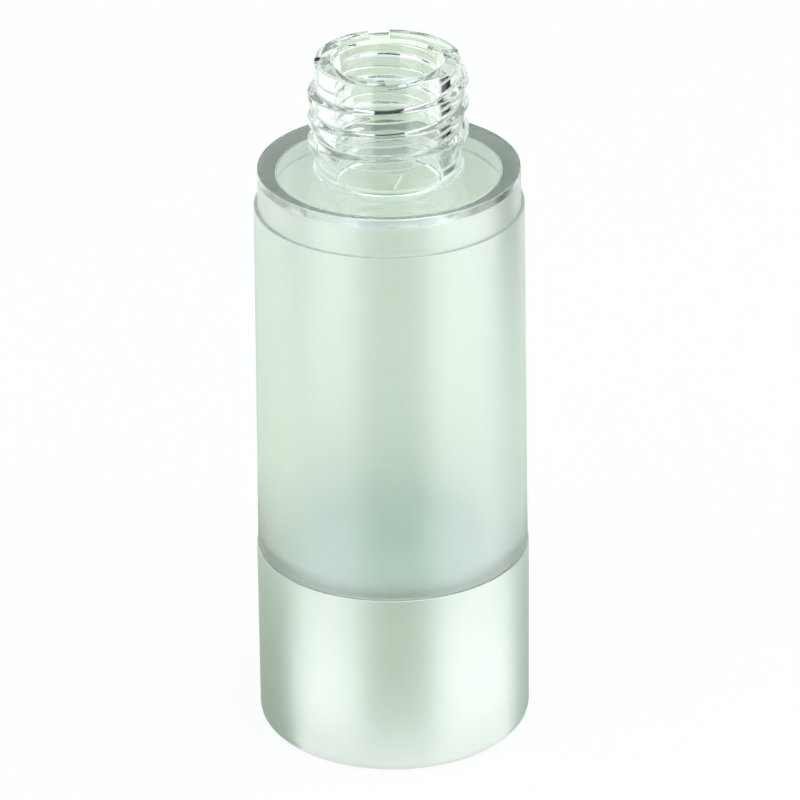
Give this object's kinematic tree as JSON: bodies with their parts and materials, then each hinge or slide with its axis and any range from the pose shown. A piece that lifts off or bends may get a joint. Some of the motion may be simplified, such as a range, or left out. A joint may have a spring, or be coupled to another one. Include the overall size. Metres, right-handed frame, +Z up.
{
  "type": "airless pump bottle",
  "caption": "Cylindrical airless bottle without its pump: clear threaded neck and shoulder, frosted barrel, sliding follower piston and a matte metal base.",
  "frame": {"origin": "centre of the underside of the base, on the bottle's axis", "axes": "+Z up along the bottle's axis, towards the neck; -Y is the side that the picture shows"},
  "size_m": [0.035, 0.035, 0.0923],
  "materials": {
    "clear_plastic": "clear moulded plastic, glossy on the neck and shoulder, frosted on the barrel and the cap band",
    "piston_plastic": "satin translucent white polyethylene",
    "plug_plastic": "satin white polypropylene",
    "liner_plastic": "satin white polypropylene",
    "base_metal": "matte anodised"
  },
  "bodies": {
    "bottle_body": {"bottle": "clear_plastic", "base_plug": "plug_plastic", "base_liner": "liner_plastic", "base_shell": "base_metal"},
    "follower": {"piston": "piston_plastic"}
  },
  "joints": [
    {"name": "piston_slide", "type": "slide", "parent": "bottle_body", "child": "follower", "axis": [0, 0, 1], "range_m": [0, 0.049]}
  ]
}
